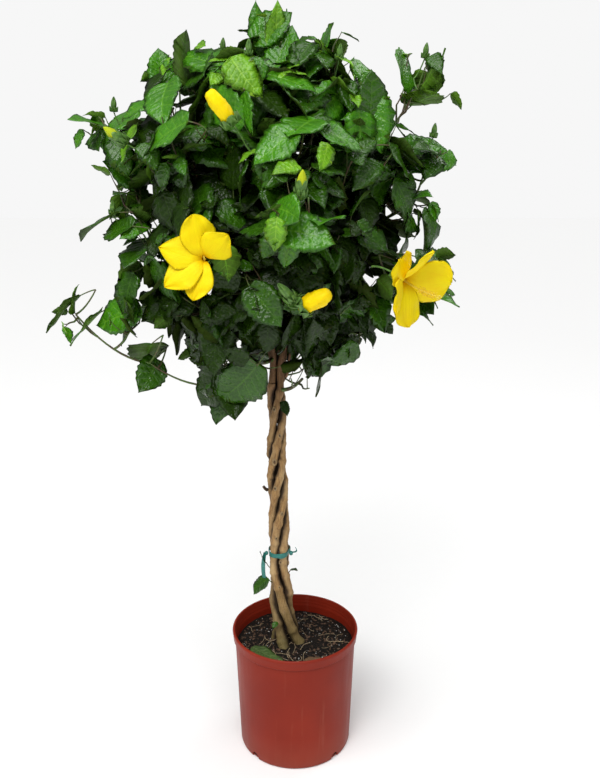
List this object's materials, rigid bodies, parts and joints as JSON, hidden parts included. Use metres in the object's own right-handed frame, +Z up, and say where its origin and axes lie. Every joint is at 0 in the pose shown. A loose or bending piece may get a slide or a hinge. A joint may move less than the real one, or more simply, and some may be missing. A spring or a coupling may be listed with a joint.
{
  "type": "potted hibiscus shrub grown as a standard with a braided trunk",
  "caption": "Hibiscus grown as a small patio tree: a round leafy head with yellow flowers on a plaited trunk, standing in a plain round nursery pot.",
  "frame": {"origin": "centre of the pot's flat underside", "axes": "+Z up along the pot's axis, -Y towards the front of the plant, +X to its right"},
  "size_m": [0.7143, 0.6169, 1.415],
  "materials": {
    "pot": "satin",
    "potting_mix": "matte",
    "bark": "matte",
    "foliage": "satin",
    "young_foliage": "satin",
    "petal": "satin",
    "tie": "satin"
  },
  "bodies": {
    "root": {"bough_front": "bark", "bough_leader": "bark", "bough_left": "bark", "bough_low_left": "bark", "bough_low_rear": "bark", "bough_low_right": "bark", "bough_rear": "bark", "bough_right": "bark", "foliage_crest_1": "foliage", "foliage_crest_2": "foliage", "foliage_crest_3": "foliage", "foliage_crest_4": "foliage", "foliage_fringe_1": "foliage", "foliage_fringe_2": "foliage", "foliage_fringe_3": "foliage", "foliage_leader": "foliage", "foliage_lower_1": "foliage", "foliage_lower_2": "foliage", "foliage_lower_3": "foliage", "foliage_lower_4": "foliage", "foliage_lower_5": "foliage", "foliage_middle_1": "foliage", "foliage_middle_2": "foliage", "foliage_middle_3": "foliage", "foliage_middle_4": "foliage", "foliage_middle_5": "foliage", "foliage_shoulder_1": "foliage", "foliage_shoulder_2": "foliage", "foliage_shoulder_3": "foliage", "foliage_shoulder_4": "foliage", "foliage_shoulder_5": "foliage", "foliage_skirt_1": "foliage", "foliage_skirt_2": "foliage", "foliage_skirt_3": "foliage", "foliage_skirt_4": "foliage", "plant_tie": "tie", "pot": "pot", "potting_mix": "potting_mix", "shoot_crest_left": "foliage", "shoot_crest_right": "foliage", "shoot_droop_front": "foliage", "shoot_droop_left": "foliage", "shoot_far_left": "foliage", "shoot_flower_left": "foliage", "shoot_flower_right": "foliage", "shoot_front": "foliage", "shoot_low_left": "foliage", "shoot_low_right": "foliage", "shoot_rear": "foliage", "shoot_side_left": "foliage", "shoot_side_right": "foliage", "shoot_upper_left": "foliage", "shoot_upper_right": "foliage", "shoot_wing_left": "foliage", "shoot_wing_right": "foliage", "stem_1": "bark", "stem_2": "bark", "stem_3": "bark", "stem_4": "bark"}
  },
  "joints": []
}
